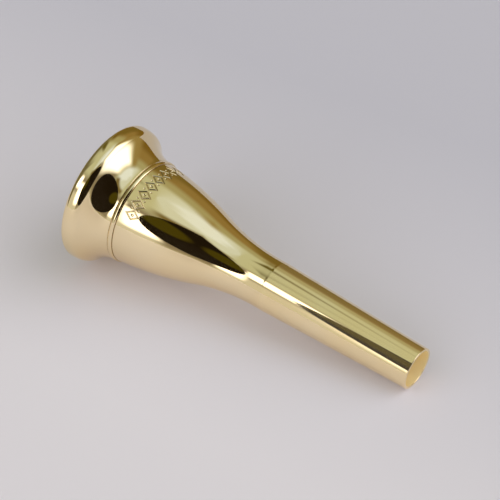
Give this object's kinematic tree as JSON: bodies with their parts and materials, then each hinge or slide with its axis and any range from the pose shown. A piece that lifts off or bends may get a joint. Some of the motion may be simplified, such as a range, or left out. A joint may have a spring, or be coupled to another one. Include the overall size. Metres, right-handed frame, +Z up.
{
  "type": "french horn mouthpiece",
  "caption": "Gold-plated brass French horn mouthpiece with a screw-on rim, a thin waist ring, a funnel cup and a long tapered hollow shank, lying on its side.",
  "frame": {"origin": "on the surface the mouthpiece lies on, under the middle of its bounding box", "axes": "+X from the rim to the shank's open end, +Z up; the turning axis lies in the XZ plane, 8.03 degrees nose down, because the piece rests on its lip and on its shank's end"},
  "size_m": [0.0664, 0.0254, 0.0253],
  "materials": {
    "gold_plate_rim": "mirror-polished gold plate",
    "gold_plate_ring": "mirror-polished gold plate",
    "gold_plate_body": "mirror-polished gold plate"
  },
  "bodies": {
    "cup_body": {"cup_and_shank": "gold_plate_body"},
    "ring_body": {"waist_ring": "gold_plate_ring"},
    "rim_body": {"screw_rim": "gold_plate_rim"}
  },
  "joints": [
    {"name": "rim_advance", "type": "slide", "parent": "cup_body", "child": "ring_body", "axis": [-0.9902, 0, 0.1396], "range_m": [0, 0.00353]},
    {"name": "rim_turn", "type": "hinge", "parent": "ring_body", "child": "rim_body", "pos_m": [-0.0231, 0, 0.01154], "axis": [-0.9902, 0, 0.1396], "range_deg": [0, 1802]}
  ],
  "couplings": [
    {"joint": "rim_turn", "follows": "rim_advance", "rad_per_m": 8904.7}
  ]
}
